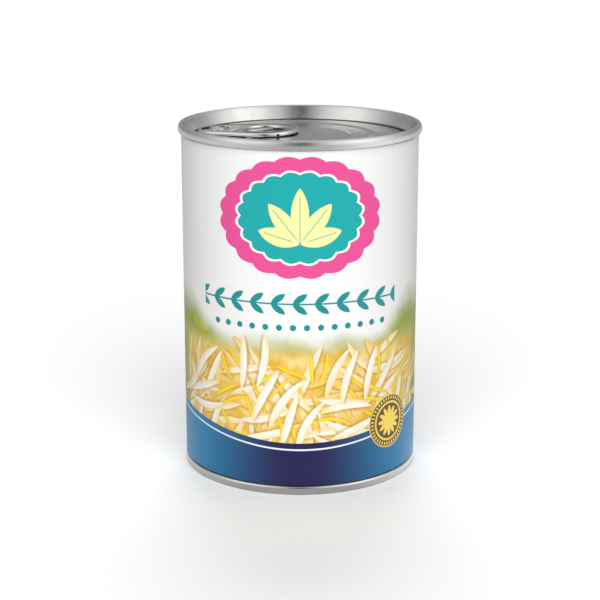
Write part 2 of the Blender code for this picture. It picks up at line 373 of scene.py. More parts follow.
def makeRolledGrain():
    # long fine lines left by rolling, so many to the mm, along the given vector's Y axis
    tree, given, out = newGroup(
        "rolled grain",
        {"Vector": None, "Lines": 6.0, "Stretch": 30.0},
        ["Grain"])
    x, y, z = splitVector(tree, given["Vector"])
    lines = given["Lines"]
    fine = joinVector(tree, times(tree, x, lines), over(tree, times(tree, y, lines), given["Stretch"]),
                      times(tree, z, lines))
    close = noise(tree, fine, 1.0, 3.0, 0.6)
    broad = noise(tree, fine, 0.17, 2.0, 0.5)
    feed(tree, out["Grain"], plus(tree, times(tree, close, 0.65), times(tree, broad, 0.35)))
    return tree


def makeHandling():
    # soft smudges of the given size in mm, and sparse fine scratches from handling
    tree, given, out = newGroup(
        "handling marks",
        {"Vector": None, "Size": 9.0, "Scratches": 0.5},
        ["Smudge", "Scratch"])
    x, y, z = splitVector(tree, given["Vector"])
    patches = noise(tree, given["Vector"], over(tree, 1.0, given["Size"]), 4.0, 0.55)
    feed(tree, out["Smudge"], ramp(tree, patches, 0.38, 0.68))
    total = 0.0
    for turn in (0.35, 1.3, 2.4):
        across = plus(tree, times(tree, x, math.cos(turn)), times(tree, y, math.sin(turn)))
        along = minus(tree, times(tree, y, math.cos(turn)), times(tree, x, math.sin(turn)))
        drawn = joinVector(tree, times(tree, across, 3.0), times(tree, along, 0.08), z)
        streak = noise(tree, drawn, 1.0, 1.0, 0.4)
        line = ramp(tree, streak, 0.73, 0.78)
        total = most(tree, total, line)
    feed(tree, out["Scratch"], times(tree, total, given["Scratches"]))
    return tree


def makeEdgeWearAndCreaseShade():
    # 1 on raised edges and 0 on flats, and the reverse for creases, which the finishes darken as painted
    # shade
    tree, given, out = newGroup("edge wear", {"Vector": None, "Width": 0.05}, ["Edge", "CreaseShade"])
    pointed = tree.nodes.new("ShaderNodeNewGeometry").outputs["Pointiness"]
    breakup = times(tree, minus(tree, noise(tree, given["Vector"], 1.3, 3.0), 0.5), 0.03)
    worn = plus(tree, pointed, breakup)
    feed(tree, out["Edge"], ramp(tree, worn, 0.52, plus(tree, 0.52, given["Width"])))
    feed(tree, out["CreaseShade"], ramp(tree, worn, 0.48, minus(tree, 0.48, given["Width"])))
    return tree


roundCoords = makeRoundCoords()
rolledGrain = makeRolledGrain()
handling = makeHandling()
edgeWearAndCreaseShade = makeEdgeWearAndCreaseShade()


def tinFinish(name, settings):
    # bright tin-plated steel; the grain runs straight or round the can
    material, tree, shader, where = newMaterial(name)
    inMm = inMillimetres(tree, where)
    if settings["grain"] == "round":
        coords = useGroup(tree, roundCoords, Vector=where)
        alongGrain = joinVector(tree, coords["Radius"], coords["Arc"], coords["Height"])
    else:
        alongGrain = inMm
    grain = useGroup(tree, rolledGrain, Vector=alongGrain, Lines=settings["linesPerMm"])["Grain"]
    marks = useGroup(tree, handling, Vector=inMm, Size=settings["smudgeSize"],
                     Scratches=settings["scratches"])
    wearAndShade = useGroup(tree, edgeWearAndCreaseShade, Vector=inMm)
    colour = blend(tree, grain, (*settings["darkColour"], 1), (*settings["colour"], 1))
    colour = blend(tree, times(tree, marks["Smudge"], 0.25), colour, (*settings["darkColour"], 1))
    colour = blend(tree, times(tree, wearAndShade["Edge"], 0.5), colour, (0.86, 0.86, 0.84, 1))
    # painted shade: darker in creases, while raised edges are lighter from wear
    colour = blend(tree, times(tree, wearAndShade["CreaseShade"], 0.45), colour, (0.16, 0.155, 0.145, 1))
    rough = plus(tree, settings["roughness"], times(tree, minus(tree, grain, 0.5), 0.16))
    if "shadeBelow" in settings:
        coords = useGroup(tree, roundCoords, Vector=where)
        low = ramp(tree, coords["Height"], settings["shadeBelow"], settings["shadeBelow"] - 0.3)
        shadeFrom = settings["shadeOutside"]
        shaded = times(tree, low, ramp(tree, coords["Radius"], shadeFrom, shadeFrom + 0.3))
        # painted shade: the groove is darkened almost to black, and it is also made rougher
        colour = blend(tree, times(tree, shaded, 0.93), colour, (0.05, 0.05, 0.045, 1))
        rough = plus(tree, rough, times(tree, shaded, 0.3))
    feed(tree, shader.inputs["Base Color"], colour)
    rough = plus(tree, rough, times(tree, marks["Smudge"], 0.07))
    rough = minus(tree, rough, times(tree, wearAndShade["Edge"], 0.05))
    feed(tree, shader.inputs["Roughness"], rough)
    shader.inputs["Metallic"].default_value = 1.0
    height = minus(tree, grain, times(tree, marks["Scratch"], 1.2))
    addBump(tree, shader, height, settings["bump"], 0.02 * mm)
    return material


lidTin = tinFinish("lid tinplate", {
    "grain": "straight", "linesPerMm": 5.0, "smudgeSize": 11.0, "scratches": 0.35,
    "colour": (0.64, 0.64, 0.625), "darkColour": (0.56, 0.56, 0.545), "roughness": 0.13, "bump": 0.1,
    # painted shade: darker below this height (mm) outside this radius (mm), in the groove round the panel
    "shadeBelow": 105.3, "shadeOutside": 33.0})
seamTin = tinFinish("seam tinplate", {
    "grain": "round", "linesPerMm": 5.0, "smudgeSize": 6.0, "scratches": 0.3,
    "colour": (0.65, 0.65, 0.635), "darkColour": (0.6, 0.6, 0.585), "roughness": 0.24, "bump": 0.07})
tabTin = tinFinish("tab tinplate", {
    "grain": "straight", "linesPerMm": 7.0, "smudgeSize": 5.0, "scratches": 0.3,
    "colour": (0.74, 0.74, 0.725), "darkColour": (0.68, 0.68, 0.665), "roughness": 0.13, "bump": 0.08})
# painted shade: a near-black tinplate for the tab's underside, the inside of its rolls and the walls of
# its slit
tabShadeFinish = tinFinish("dull underside of the tab", {
    "grain": "straight", "linesPerMm": 7.0, "smudgeSize": 5.0, "scratches": 0.3,
    "colour": (0.11, 0.11, 0.105), "darkColour": (0.05, 0.05, 0.047), "roughness": 0.42, "bump": 0.1})
print("metal finishes made")


# lid, seams, bottom and body

seamShape = [(-0.22, 0.8), (-0.14, 0.3), (0.12, 0.1), (0.56, 0.1), (0.9, 0.28), (1.14, 0.66), (1.27, 1.15),
             (1.33, 1.7), (1.33, 2.2), (1.16, 2.6), (0.86, 2.76), (0.56, 2.7), (0.42, 2.4), (0.42, 0.85)]
hookShape = [(0.74, 2.2), (0.74, 0.62), (0.6, 0.44), (0.24, 0.44), (0.1, 0.62)]


def atRadius(shape, innerRadius):
    return [(innerRadius + out * mm, depth * mm) for out, depth in shape]


def fromTop(path):
    return [(radius, can["top"] - depth) for radius, depth in path]


lid = {
    "panelDepth": 4.5 * mm, "panelRadius": 32.9 * mm, "grooveDepth": 5.25 * mm,
    "finest": 0.5 * mm,    # longest step of the panel's mesh along its radius
    "score": 32.1 * mm, "scoreWidth": 0.2 * mm, "scoreDepth": 0.09 * mm,
    # raised part of the panel: (radius, depth under the rim) in mm, from the middle out
    "raised": [(0, 3.9), (15.1, 3.9), (15.9, 4.12), (21.6, 4.12), (23.5, 3.9), (29.4, 4.0), (31.5, 4.5)],
    # it starts at this distance from the tab's nose, and further off beside the tab
    "raisedFrom": 10.0 * mm, "raisedFlare": 0.7, "raisedSlope": 6.5 * mm,
    "lowDepth": 4.85 * mm, "lowFrom": 29.6 * mm,    # the ground round the tab's nose, out to this radius
}


def smoothStep(value):
    value = min(max(value, 0), 1)
    return value * value * (3 - 2 * value)


def cutFinely(points, longest, reach):
    # no stretch inside the given radius is longer than longest
    cut = [points[0]]
    for start, end in zip(points, points[1:]):
        parts = math.ceil((end - start).length / longest) if start.x < reach else 1
        cut += [start.lerp(end, i / parts) for i in range(1, parts + 1)]
    return cut


def raisedShare(x, y):
    # 0 in the low ground round the tab's nose, 1 on the raised part
    local = tabMatrix.inverted() @ Vector((x, y, hingePlace.z))
    edge = lid["raisedFrom"] + lid["raisedFlare"] * abs(local.y)
    return smoothStep((local.x - edge) / lid["raisedSlope"])


def makeLid():
    edge, deep = lid["panelRadius"], lid["grooveDepth"]
    path = [(radius * mm, depth * mm) for radius, depth in lid["raised"]] + [
        (edge, lid["panelDepth"]), (edge + 0.3 * mm, deep - 0.2 * mm), (edge + 0.7 * mm, deep),
        (edge + 1.5 * mm, deep), (edge + 2.1 * mm, deep - 0.3 * mm), (edge + 2.4 * mm, deep - 1.2 * mm),
    ] + atRadius(seamShape, can["bodyInner"])
    smooth = cutFinely(filletPath(fromTop(path), 0.35 * mm), lid["finest"], edge)
    upper, lower = sheetSides(smooth, can["sheet"])
    panelTop = can["top"] - lid["panelDepth"] + can["sheet"] / 2
    after = next(i for i, point in enumerate(upper) if point.x > lid["score"])
    half = lid["scoreWidth"] / 2
    upper[after:after] = [Vector((lid["score"] - half, panelTop)),
                          Vector((lid["score"], panelTop - lid["scoreDepth"])),
                          Vector((lid["score"] + half, panelTop))]
    piece = turnedPiece("lid_sheet", upper + lower[::-1], can["segments"])
    # the low ground: the panel is let down to one level wherever it isn't raised
    levels = [point for point in smooth if point.x < edge]
    rimRadius = lid["raised"][-1][0] * mm
    for vertex in piece.data.vertices:
        radius = math.hypot(vertex.co.x, vertex.co.y)
        if radius < rimRadius:
            i = next(i for i, point in enumerate(levels) if point.x >= radius)
            before, beyond = levels[max(i - 1, 0)], levels[i]
            part = (radius - before.x) / max(beyond.x - before.x, 1e-9)
            height = before.y + (beyond.y - before.y) * part
            low = smoothStep((rimRadius - radius) / (rimRadius - lid["lowFrom"]))
            ground = can["top"] - lid["panelDepth"] - low * (lid["lowDepth"] - lid["panelDepth"])
            drop = height - ground
            vertex.co.z -= drop * (1 - raisedShare(vertex.co.x, vertex.co.y))
    addFinishes(piece, lidTin, seamTin)
    for face in piece.data.polygons:
        centreRadius = math.hypot(face.center.x, face.center.y)
        face.material_index = 1 if centreRadius > edge + 2.3 * mm else 0
    place(piece, "can", "end_tinplate", "easy_open_lid")


bottom = {
    "panelDepth": 3.6 * mm, "beadDepth": 3.2 * mm, "grooveDepth": 4.8 * mm,
}


def makeBottom():
    flat, bead, deep = bottom["panelDepth"], bottom["beadDepth"], bottom["grooveDepth"]
    path = [
        (0, flat), (17.6 * mm, flat), (18.4 * mm, bead), (26.4 * mm, bead), (27.2 * mm, flat),
        (31.6 * mm, flat), (32.1 * mm, deep - 0.3 * mm), (32.6 * mm, deep), (33.4 * mm, deep),
        (34.2 * mm, deep - 0.8 * mm),
    ] + atRadius(seamShape, can["neckInner"])
    left, right = sheetSides(filletPath(path, 0.35 * mm), can["sheet"])
    piece = turnedPiece("bottom_sheet", left + right[::-1], can["segments"])
    piece.data.materials.append(seamTin)
    place(piece, "can", "end_tinplate", "bottom_end")


body = {"beads": 6, "beadPitch": 7.5 * mm, "beadDepth": 0.5 * mm}


def makeBody():
    wall = can["bodyInner"] + can["sheet"] / 2
    path = fromTop(atRadius(hookShape, can["bodyInner"]))
    firstBead = can["top"] / 2 + body["beads"] * body["beadPitch"] / 2
    for halfStep in range(2 * body["beads"] + 1):
        inset = body["beadDepth"] if halfStep % 2 else 0
        path.append((wall - inset, firstBead - halfStep * body["beadPitch"] / 2))
    neckIn = can["bodyInner"] - can["neckInner"]
    path += [(wall, 7.0 * mm), (wall - 0.2 * neckIn, 5.6 * mm), (wall - neckIn, 4.2 * mm)]
    path += reversed(atRadius(hookShape, can["neckInner"]))
    left, right = sheetSides(filletPath(path, 1.6 * mm), can["sheet"])
    piece = turnedPiece("body_wall", left + right[::-1], can["segments"], closed=True)
    piece.data.materials.append(seamTin)
    place(piece, "can", "body_tinplate", "can_body")


makeLid()
makeBottom()
makeBody()
print("lid, bottom and body made")


# rivet, tongue and tab

tab = {
    "length": 32 * mm, "noseWidth": 15.5 * mm, "ringWidth": 21.7 * mm,
    "curl": 0.65 * mm, "sheet": 0.28 * mm,
    "webThickness": 0.32 * mm, "webHeight": 0.35 * mm, "tilt": math.radians(1.4),
    "holeRadius": 6.45 * mm, "holeAt": 20.95 * mm, "holeCurl": 0.56 * mm, "holeCurlHeight": 0.12 * mm,
    "slitAngle": math.radians(-54.7), "slitSize": (2.4 * mm, 1.0 * mm, 1.2 * mm), "slitOut": 1.2 * mm,
    "slitDrop": 0.4 * mm,
    # two crossed arms pressed in the web: length, width and height, then place, depth in the web and turn
    "armSize": (10.4 * mm, 1.1 * mm, 0.46 * mm), "armAt": 12.4 * mm, "armSunk": 0.04 * mm, "armTurn": 1.2,
    "undersideFrom": -0.72,    # faces whose normals point down more than this get the painted-shade finish
}
tongue = {
    "rivetAt": 5.55 * mm, "halfWidth": 3.9 * mm, "end": 8.0 * mm, "corner": 2.0 * mm, "hole": 1.8 * mm,
    "thickness": 0.35 * mm, "bottomDepth": 3.9 * mm, "slot": 0.5 * mm, "rootGap": 0.35 * mm,
    "bevel": 0.08 * mm,
}


def tabOutline():
    nose = tab["noseWidth"] / 2 - tab["curl"]
    ring = tab["ringWidth"] / 2 - tab["curl"]
    ringX = tab["length"] - 2 * tab["curl"] - ring
    tangent = math.pi / 2 + math.asin((ring - nose) / (ringX - nose))
    return nose, ring, ringX, tangent


def rolledSection(radius, sheet, start, end, side, lift=0.0, steps=20):
    # a strip of sheet rolled from start to end; side is 1 for an outer rim and -1 for a hole's rim
    outer = arcPoints(0, lift, radius, start, end, steps)
    inner = arcPoints(0, lift, radius - sheet, end, start, steps)
    return [Vector((side * point.x, point.y)) for point in outer + inner]


def roundedEnd(halfWidth, end, corner, steps):
    across = halfWidth - corner
    return (arcPoints(end - corner, across, corner, math.pi / 2, 0, steps)
            + arcPoints(end - corner, -across, corner, 0, -math.pi / 2, steps))


def ridge(length, width, height, at, turn):
    # a long low pressed form, half sunk in the web
    bm = bmesh.new()
    bmesh.ops.create_uvsphere(bm, u_segments=40, v_segments=20, radius=1)
    bmesh.ops.scale(bm, vec=(length / 2, width / 2, height), verts=bm.verts)
    bmesh.ops.rotate(bm, verts=bm.verts, cent=(0, 0, 0), matrix=Matrix.Rotation(turn, 3, "Z"))
    bmesh.ops.translate(bm, verts=bm.verts, vec=at)
    return newPiece("ridge", bm)


def makeLever():
    nose, ring, ringX, tangent = tabOutline()
    ringArc = arcPoints(ringX, 0, ring, -tangent, tangent, 72)
    noseArc = arcPoints(nose, 0, nose, tangent, math.tau - tangent, 48)
    rim = ringArc + noseArc[1:-1]
    edge = sweptLoop("rolled_edge", rim, rolledSection(
        tab["curl"], tab["sheet"], math.radians(115), math.radians(-190), 1))
    holeArc = arcPoints(tab["holeAt"], 0, tab["holeRadius"] + tab["holeCurl"], 0, math.tau, 72)[:-1]
    holeEdge = sweptLoop("hole_edge", holeArc, rolledSection(
        tab["holeCurl"], 0.24 * mm, math.radians(115), math.radians(-185), -1, tab["holeCurlHeight"]))

    slotHalf = tongue["halfWidth"] + tongue["slot"]
    slotAngle = math.pi - math.asin(slotHalf / nose)
    outline = ringArc[1:-1]
    outline += arcPoints(nose, 0, nose, tangent, slotAngle, 8)
    outline += roundedEnd(slotHalf, tongue["end"] + tongue["slot"], tongue["corner"] + tongue["slot"], 10)
    outline += arcPoints(nose, 0, nose, -slotAngle, -tangent, 8)
    lever = flatPlate("tab_lever", [outline, holeArc], tab["webThickness"], tab["webHeight"])

    webTop = tab["webHeight"] + tab["webThickness"] / 2
    armPlace = (tab["armAt"], 0, webTop - tab["armSunk"])
    arms = [ridge(*tab["armSize"], armPlace, turn) for turn in (tab["armTurn"], -tab["armTurn"])]
    for part in (lever, edge, holeEdge, *arms):
        addFinishes(part, tabTin, tabShadeFinish)
    for part in (*arms, edge, holeEdge):
        boolean(lever, part, "UNION")

    bm = bmesh.new()
    bmesh.ops.create_cube(bm, size=1)
    bmesh.ops.scale(bm, vec=tab["slitSize"], verts=bm.verts)
    # every face of the cutter, and so every wall of the slit, gets the painted-shade finish
    for face in bm.faces:
        face.material_index = 1
    slit = newPiece("slit", bm, smooth=False)
    addFinishes(slit, tabTin, tabShadeFinish)
    reach = ring + tab["slitOut"]
    cosine, sine = math.cos(tab["slitAngle"]), math.sin(tab["slitAngle"])
    slit.location = (ringX + reach * cosine, reach * sine, -tab["slitDrop"])
    slit.rotation_euler.z = tab["slitAngle"]
    boolean(lever, slit, "DIFFERENCE")

    lever.data.transform(tabMatrix @ Matrix.Rotation(-tab["tilt"], 4, "Y"))
    # faces that point down get the painted-shade finish
    for face in lever.data.polygons:
        if face.normal.z < tab["undersideFrom"]:
            face.material_index = 1
    lever.data.shade_smooth()
    lever.data.set_sharp_from_angle(angle=math.radians(40))
    place(lever, "pull_tab", "tab_metal", "ring_tab")


def makeTongue():
    nose = tabOutline()[0]
    root = nose - tab["curl"] - tongue["rootGap"]
    spread = math.asin(tongue["halfWidth"] / root)
    outline = roundedEnd(tongue["halfWidth"], tongue["end"], tongue["corner"], 10)
    outline += arcPoints(nose, 0, root, math.pi + spread, math.pi - spread, 24)
    hole = arcPoints(tongue["rivetAt"], 0, tongue["hole"], 0, math.tau, 48)[:-1]
    height = (can["top"] - tongue["bottomDepth"] + tongue["thickness"] / 2) - hingePlace.z
    piece = flatPlate("tab_tongue_plate", [outline, hole], tongue["thickness"], height)
    piece.data.transform(tabMatrix)
    piece.data.materials.append(tabTin)
    bevel = piece.modifiers.new("soft edges", "BEVEL")
    bevel.width = tongue["bevel"]
    bevel.segments = 2
    bevel.limit_method = "ANGLE"
    bevel.angle_limit = math.radians(35)
    piece.data.set_sharp_from_angle(angle=math.radians(50))
    place(piece, "can", "tab_metal", "tab_tongue")


# the rivet's head in mm: radius, and height over its underside
rivetHead = [(0, 0.3), (0.75, 0.32), (1.15, 0.72), (1.8, 0.72),
             (2.4, 0.45), (2.5, 0.14), (2.3, 0), (1.5, 0)]


def makeRivet():
    bossTop = can["top"] - tongue["bottomDepth"] - 0.1 * mm
    headBottom = can["top"] - tongue["bottomDepth"] + tongue["thickness"] + 0.1 * mm
    ground = can["top"] - lid["lowDepth"]
    profile = [(radius * mm, headBottom + height * mm) for radius, height in rivetHead]
    profile += [(1.5 * mm, bossTop), (2.7 * mm, bossTop), (3.5 * mm, ground), (0, ground)]
    piece = turnedPiece("rivet", filletPath(profile, 0.2 * mm, 4), 64)
    piece.data.transform(tabMatrix @ Matrix.Translation((tongue["rivetAt"], 0, -hingePlace.z)))
    piece.data.materials.append(lidTin)
    place(piece, "can", "end_tinplate", "easy_open_lid")


makeLever()
makeTongue()
makeRivet()
print("tab, tongue and rivet made")


# printed label

label = {
    "inner": 36.8 * mm, "thickness": 0.15 * mm, "lapHalfWidth": 4.0 * mm, "segments": 360,
    "lapSteps": 12, "rows": 12,
}
# places and sizes of the print, in mm: arc from the middle of the front, height from the foot
printed = {
    # where the ground fades out: heights in the middle and at the sides, and arcs between them
    "fade": {"arc": (22.0, 44.0), "from": (52.0, 62.0), "to": (44.0, 50.0)},
    "band": {"top": 16.8, "wave": 2.9, "stripe": 2.1, "stripeHalf": 0.27},
    "medallion": {"height": 86.5, "halfWidth": 26.0, "halfHeight": 18.4, "scallops": 20,
                  "scallopDepth": 0.05,
                  # each ring: share of the whole where it starts and is full, and its ink
                  "rings": [(0.955, 0.945, "pink"), (0.735, 0.73, "medallionLine"), (0.7, 0.695, "teal")],
                  # turn and length of each leaf, and how far under the middle they start
                  "leaves": [(0.28, 13.0), (math.pi - 0.28, 13.0), (0.9, 15.0), (math.pi - 0.9, 15.0),
                             (math.pi / 2, 16.5)], "leafDrop": 7.6, "leafWidth": 5.4},
    "garland": {"height": 60.5, "halfWidth": 33.0, "pitch": 6.6, "vine": 0.32,
                "leafStart": 2.2, "leafTurn": 0.62, "leafLength": 5.4, "leafWidth": 2.1},
    "dots": {"height": 53.2, "halfWidth": 29.4, "pitch": 4.2, "radius": 0.95},
    "seal": {"arc": 31.2, "height": 20.0, "radius": 8.6, "petals": 12, "petalDepth": 0.26,
             "ring": (0.66, 0.74), "beadRing": (0.8, 0.92), "beads": 40},
    "panel": {"arc": 88.0, "low": 24.0, "high": 98.0},
}
# layers of strewn blades, lowest first: cell in mm, turn of its grid, width as a share of the cell,
# share of yellow, depth in the heap, and how far round from the front it goes in mm
bladeLayers = [
    (19.0, 0.3, 0.13, 0.3, 0.9, 45), (20.0, 1.1, 0.13, 0.2, 0.75, 45), (18.0, 2.0, 0.13, 0.4, 0.6, 45),
    (22.0, 2.7, 0.115, 0.0, 0.45, 200), (21.0, 0.8, 0.12, 0.2, 0.35, 45), (23.0, 1.7, 0.11, 0.0, 0.25, 45),
    (14.0, 0.6, 0.09, 1.0, 0.15, 45), (24.0, 2.4, 0.11, 0.0, 0.15, 45), (24.0, 0.1, 0.105, 0.0, 0.08, 200),
    (15.0, 1.9, 0.08, 1.0, 0.0, 200), (25.0, 1.3, 0.105, 0.0, 0.0, 45), (24.0, 2.2, 0.105, 0.0, 0.0, 45),
]
# colours of the print, as six-figure codes
inks = {
    "bladeShade": "efd287", "blade": "fffcf2", "yellowShade": "e9ac08", "yellow": "fde22c",
    "bladeRib": "d3a545", "deepInHeap": "f7d978", "bladeShadow": "c08a18", "lightGreen": "b7c53a",
    "gold": "e8b431", "paleGold": "f8df92", "paper": "f6f6f4", "pink": "ea4e97",
    "medallionLine": "fbfbf8", "leaf": "fdf6a8", "stripe": "eef4f8", "panel": "f6f6f3",
    "foil": "e8c65c", "strandShade": "b59a55", "strand": "f3e7c2", "earth": "7d6a58", "green": "93a51d",
    "teal": "01a9aa", "deepTeal": "018f92", "bandMiddle": "130c4b", "bandSide": "0b8cc2",
    "sealGround": "5a4a1c",
}
bladeShape = {
    # as shares of the cell: gap between two blades, slide along each other, half length, soft edge
    "apart": 0.1, "apartSpread": 0.07, "slide": 0.06, "half": 0.34, "halfSpread": 0.08, "edge": 0.006,
    "bend": 0.9, "bendOther": 0.3, "lean": 0.4, "taper": 2.6, "swell": 0.8,
    "steps": (7.31, 3.17),    # how far each layer's grid is shifted from the one before, in cells
    "heapTop": 43.0,    # no cell above this height holds blades
}


def ink(name):
    # printed colour from its six-figure code
    code = inks[name]
    parts = [int(code[i:i + 2], 16) / 255 for i in (0, 2, 4)]
    return (*[p / 12.92 if p <= 0.04045 else ((p + 0.055) / 1.055) ** 2.4 for p in parts], 1)


def turned2d(tree, x, y, angle):
    c = calc(tree, "COSINE", angle)
    s = calc(tree, "SINE", angle)
    return (plus(tree, times(tree, x, c), times(tree, y, s)),
            minus(tree, times(tree, y, c), times(tree, x, s)))


def makeLeafShape():
    # a pointed leaf from the origin along the given angle, with a light rib
    tree, given, out = newGroup(
        "leaf shape",
        {"X": 0.0, "Y": 0.0, "Angle": 0.0, "Length": 5.0, "Width": 2.0},
        ["Leaf", "Rib"])
    x, y = turned2d(tree, given["X"], given["Y"], given["Angle"])
    t = over(tree, x, given["Length"])
    swell = times(tree, times(tree, t, minus(tree, 1.0, t)), 4.0)
    half = times(tree, calc(tree, "POWER", most(tree, swell, 0.0), 0.8),
                over(tree, given["Width"], 2.0))
    inside = minus(tree, half, size(tree, y))
    within = times(tree, calc(tree, "GREATER_THAN", t, 0.0), calc(tree, "LESS_THAN", t, 1.0))
    feed(tree, out["Leaf"], times(tree, ramp(tree, inside, 0.0, 0.08), within))
    rib = ramp(tree, size(tree, y), 0.16, 0.08)
    feed(tree, out["Rib"], times(tree, times(tree, rib, calc(tree, "LESS_THAN", t, 0.86)), within))
    return tree


def makeBladeLayer():
    # two slender blades in every cell of a turned grid, laid over the colour that comes in
    tree, given, out = newGroup(
        "strewn blades",
        {"Under": (0, 0, 0, 1), "Arc": 0.0, "Height": 0.0, "Cell": 17.0, "Turn": 0.0, "Seed": 0.0,
         "Width": 0.13, "Yellow": 0.0, "Deep": 0.0, "Reach": 45.0},
        ["Color"])
    b = bladeShape
    axes = []
    for place, step in zip(turned2d(tree, given["Arc"], given["Height"], given["Turn"]), b["steps"]):
        shift = times(tree, given["Seed"], step)
        place = plus(tree, over(tree, place, given["Cell"]), shift)
        cell = calc(tree, "FLOOR", place)
        middle = times(tree, minus(tree, plus(tree, cell, 0.5), shift), given["Cell"])
        axes.append((cell, minus(tree, place, cell, 0.5), middle))
    (cellU, fu, midU), (cellV, fv, midV) = axes
    chance = tree.nodes.new("ShaderNodeTexWhiteNoise")
    chance.noise_dimensions = "3D"
    feed(tree, chance.inputs["Vector"], joinVector(tree, cellU, cellV, given["Seed"]))
    c1, c2, c3 = splitVector(tree, chance.outputs["Color"])
    x, y = turned2d(tree, fu, fv, times(tree, c1, math.tau))
    # a second blade lies on the other side of the cell's middle, bent and placed in its own way
    other = calc(tree, "SIGN", y)
    x = plus(tree, x, times(tree, other, times(tree, c3, b["slide"])))
    y = minus(tree, size(tree, y), plus(tree, b["apart"], times(tree, c3, b["apartSpread"])))
    bend = plus(tree, minus(tree, c2, 0.5), times(tree, other, b["bendOther"]))
    bend = times(tree, bend, b["bend"])
    y = plus(tree, y, times(tree, minus(tree, c2, 0.5), times(tree, x, b["lean"])))
    off = minus(tree, y, times(tree, bend, minus(tree, times(tree, x, x), 0.06)))

    # widest in the middle, pointed at both ends
    reach = plus(tree, b["half"], times(tree, c2, b["halfSpread"]))
    t = over(tree, x, reach)
    swell = most(tree, minus(tree, 1.0, calc(tree, "POWER", size(tree, t), b["taper"])), 0.0)
    half = times(tree, calc(tree, "POWER", swell, b["swell"]), over(tree, given["Width"], 2.0))
    inside = minus(tree, half, size(tree, off))
    blade = ramp(tree, inside, 0.0, b["edge"])
    shadow = ramp(tree, minus(tree, half, size(tree, plus(tree, off, 0.02))), -0.03, 0.01)
    shadow = times(tree, shadow, 0.5, ramp(tree, size(tree, t), 1.0, 0.85))

    # the place of the cell's own middle says whether its blade is there
    midArc, midHeight = turned2d(tree, midU, midV, times(tree, given["Turn"], -1.0))
    there = times(tree, calc(tree, "LESS_THAN", midHeight, b["heapTop"]),
                  calc(tree, "LESS_THAN", size(tree, midArc), given["Reach"]))

    across = plus(tree, over(tree, off, most(tree, half, 0.001)), 0.35)
    lit = calc(tree, "SUBTRACT", 1.0, times(tree, across, across, 0.5), clamp=True)
    pale = blend(tree, lit, "bladeShade", "blade")
    rich = blend(tree, lit, "yellowShade", "yellow")
    colour = blend(tree, times(tree, ramp(tree, t, 0.2, 0.95), 0.4), pale, rich)
    colour = blend(tree, given["Yellow"], colour, rich)
    rib = ramp(tree, size(tree, off), 0.005, 0.002)
    colour = blend(tree, times(tree, rib, 0.3), colour, "bladeRib")
    colour = blend(tree, given["Deep"], colour, "deepInHeap", mode="MULTIPLY")
    under = blend(tree, times(tree, shadow, there), given["Under"], "bladeShadow")
    feed(tree, out["Color"], blend(tree, times(tree, blade, there), under, colour))
    return tree


def between(tree, value, low, high, soft=0.06):
    above = ramp(tree, value, low - soft, low + soft)
    under = ramp(tree, value, high + soft, high - soft)
    return times(tree, above, under)


def polar(tree, x, y):
    return lengthOf(tree, x, y), calc(tree, "ARCTAN2", y, x)


